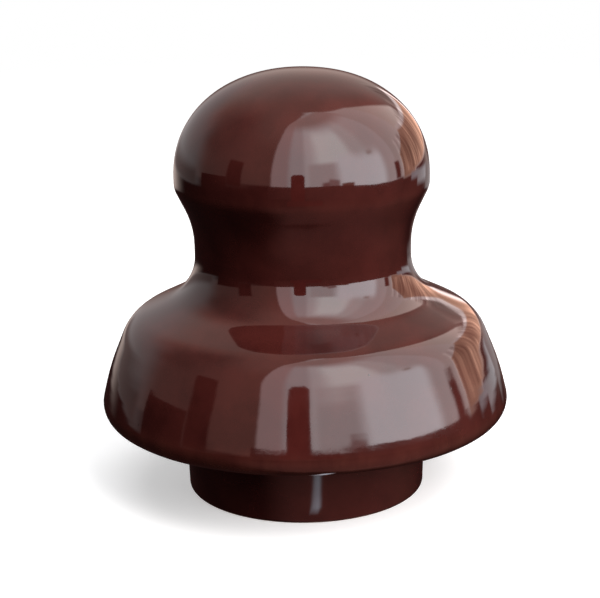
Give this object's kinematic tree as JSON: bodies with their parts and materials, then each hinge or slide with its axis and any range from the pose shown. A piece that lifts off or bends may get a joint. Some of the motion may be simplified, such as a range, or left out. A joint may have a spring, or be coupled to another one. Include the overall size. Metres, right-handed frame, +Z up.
{
  "type": "pin insulator",
  "caption": "Brown-glazed porcelain pin insulator with a domed head, side wire groove, single shed, inner petticoat and a threaded thimble cemented into the pin hole.",
  "frame": {"origin": "centre of the petticoat's rim, on the plane that the insulator stands on", "axes": "+Z up along the axis of revolution and the pin hole, from the rim towards the domed head; X and Y are any two directions across it"},
  "size_m": [0.0914, 0.0914, 0.095],
  "materials": {
    "glazed_porcelain": "glossy dark red-brown glaze, bare buff porcelain on the rim",
    "cement": "matt grey Portland cement",
    "galvanised_iron": "dull hot-dip galvanised",
    "bitumen": "black satin bitumen paint",
    "cork": "matt pressed cork"
  },
  "bodies": {
    "root": {"porcelain_body": "glazed_porcelain", "thimble_cement": "cement", "pin_thimble": "galvanised_iron", "bitumen_seal": "bitumen", "crown_cushion": "cork"}
  },
  "joints": []
}
